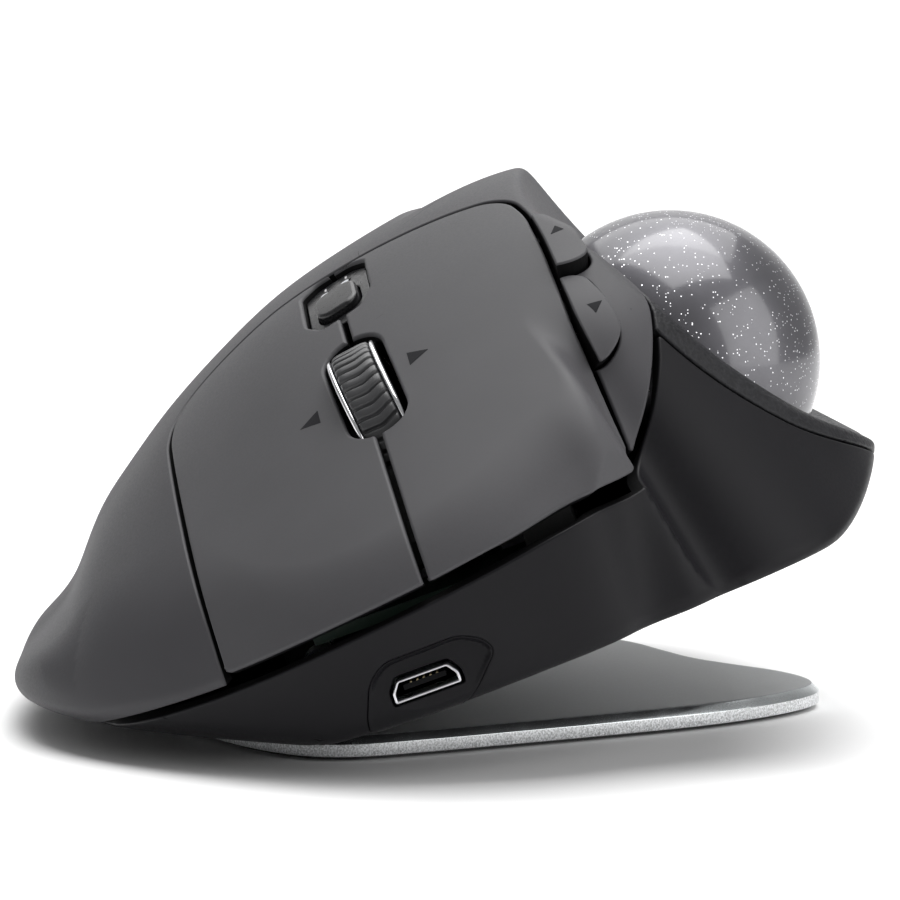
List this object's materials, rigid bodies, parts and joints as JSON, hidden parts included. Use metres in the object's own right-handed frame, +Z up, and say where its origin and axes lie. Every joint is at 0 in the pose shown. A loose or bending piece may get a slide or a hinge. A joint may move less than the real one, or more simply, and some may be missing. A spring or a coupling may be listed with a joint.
{
  "type": "trackball mouse",
  "caption": "Right-handed ergonomic mouse with a thumb-rolled ball, tilting scroll wheel and sculpted dark shell on a hinged metal plate.",
  "frame": {"origin": "underside of the rubber sole, under the ridge the body tilts on, level with the ball's centre", "axes": "+Z up, -Y is the front with the buttons and charging socket, +X is the thumb side with the ball"},
  "size_m": [0.0979, 0.1304, 0.0618],
  "materials": {
    "button_plastic": "fine matte, mid grey",
    "shell_plastic": "fine matte, slightly darker grey",
    "lower_plastic": "fine matte, very dark grey",
    "thumb_plastic": "soft leathery grain, dark grey",
    "inner_plastic": "matte black",
    "plate_metal": "metallic grey paint with fine speckle, bright chamfer",
    "rubber": "matte black",
    "steel": "satin",
    "chrome": "bright",
    "ball_gloss": "clear gloss over dark grey with silver flakes",
    "circuit_board": "green solder mask",
    "switch_plastic": "moulded black",
    "ceramic": "polished",
    "foil": "foil pouch",
    "clear_plastic": "frosted"
  },
  "bodies": {
    "base": {"base_plate": "plate_metal", "sole_pad": "rubber", "hinge_lug_front": "steel", "hinge_lug_rear": "steel", "hinge_pin": "steel"},
    "housing": {"lower_shell": "lower_plastic", "top_shell": "shell_plastic", "thumb_cover": "thumb_plastic", "button_frame": "inner_plastic", "pairing_panel": "inner_plastic", "pairing_light_1": "clear_plastic", "pairing_light_2": "clear_plastic", "ball_cup": "inner_plastic", "bearing_1": "ceramic", "bearing_2": "ceramic", "bearing_3": "ceramic", "sensor_lens": "clear_plastic", "optical_sensor": "switch_plastic", "wheel_click_switch": "switch_plastic", "main_board": "circuit_board", "button_board": "circuit_board", "battery": "foil", "usb_shell": "steel", "usb_tongue": "inner_plastic", "switch_left": "switch_plastic", "switch_right": "switch_plastic", "switch_forward": "switch_plastic", "switch_back": "switch_plastic", "switch_precision": "switch_plastic", "switch_pairing": "switch_plastic", "power_switch": "switch_plastic", "magnet_1": "steel", "magnet_2": "steel", "screw_1": "steel", "screw_2": "steel", "screw_3": "steel", "screw_4": "steel"},
    "left_key": {"left_button": "button_plastic"},
    "right_key": {"right_button": "button_plastic"},
    "forward_key": {"forward_button": "button_plastic"},
    "back_key": {"back_button": "button_plastic"},
    "precision_key": {"precision_button": "button_plastic"},
    "pairing_key": {"pairing_button": "button_plastic"},
    "ball": {"trackball": "ball_gloss"},
    "wheel_cradle_body": {"wheel_cradle": "shell_plastic"},
    "wheel_fork_body": {"wheel_fork": "inner_plastic", "wheel_encoder": "switch_plastic"},
    "wheel_body": {"wheel_hub": "inner_plastic", "wheel_tyre": "rubber", "wheel_rim_left": "chrome", "wheel_rim_right": "chrome"},
    "power_key": {"power_slider": "inner_plastic"}
  },
  "joints": [
    {"name": "tilt_hinge", "type": "hinge", "parent": "base", "child": "housing", "pos_m": [-0.00094, 0.0255, 0.00578], "axis": [0, 1, 0], "range_deg": [0, 20]},
    {"name": "left_button_hinge", "type": "hinge", "parent": "housing", "child": "left_key", "pos_m": [0.01075, 0.007, 0.05553], "axis": [0.9397, 0, 0.342], "range_deg": [0, 0.8], "stiffness_Nm_per_rad": 2},
    {"name": "right_button_hinge", "type": "hinge", "parent": "housing", "child": "right_key", "pos_m": [-0.00941, 0.0115, 0.04074], "axis": [0.9397, 0, 0.342], "range_deg": [0, 0.8], "stiffness_Nm_per_rad": 2},
    {"name": "forward_button_press", "type": "slide", "parent": "housing", "child": "forward_key", "axis": [-0.3224, 0.1998, -0.9253], "range_m": [0, 0.0006], "stiffness_N_per_m": 1200},
    {"name": "back_button_press", "type": "slide", "parent": "housing", "child": "back_key", "axis": [-0.3224, 0.1998, -0.9253], "range_m": [0, 0.0006], "stiffness_N_per_m": 1200},
    {"name": "precision_button_press", "type": "slide", "parent": "housing", "child": "precision_key", "axis": [-0.7664, -0.05, -0.6405], "range_m": [0, 0.0005], "stiffness_N_per_m": 1200},
    {"name": "pairing_button_press", "type": "slide", "parent": "housing", "child": "pairing_key", "axis": [0.342, 0, -0.9397], "range_m": [0, 0.0004], "stiffness_N_per_m": 1200},
    {"name": "ball_roll", "type": "hinge", "parent": "housing", "child": "ball", "pos_m": [0.03865, 0, 0.04174], "axis": [0.9063, 0, -0.4226], "continuous": true},
    {"name": "wheel_click", "type": "slide", "parent": "housing", "child": "wheel_cradle_body", "axis": [0.4183, 0.454, -0.7867], "range_m": [0, 0.0005], "stiffness_N_per_m": 1500},
    {"name": "wheel_tilt", "type": "hinge", "parent": "wheel_cradle_body", "child": "wheel_fork_body", "pos_m": [0.01381, -0.00916, 0.0228], "axis": [-0.2131, 0.891, 0.4008], "range_deg": [-1.4, 1.4], "stiffness_Nm_per_rad": 0.35},
    {"name": "wheel_spin", "type": "hinge", "parent": "wheel_fork_body", "child": "wheel_body", "pos_m": [0.00779, -0.0157, 0.03413], "axis": [0.8829, 0, 0.4695], "continuous": true},
    {"name": "power_slide", "type": "slide", "parent": "housing", "child": "power_key", "axis": [0.9397, 0, 0.342], "range_m": [0, 0.003]}
  ]
}
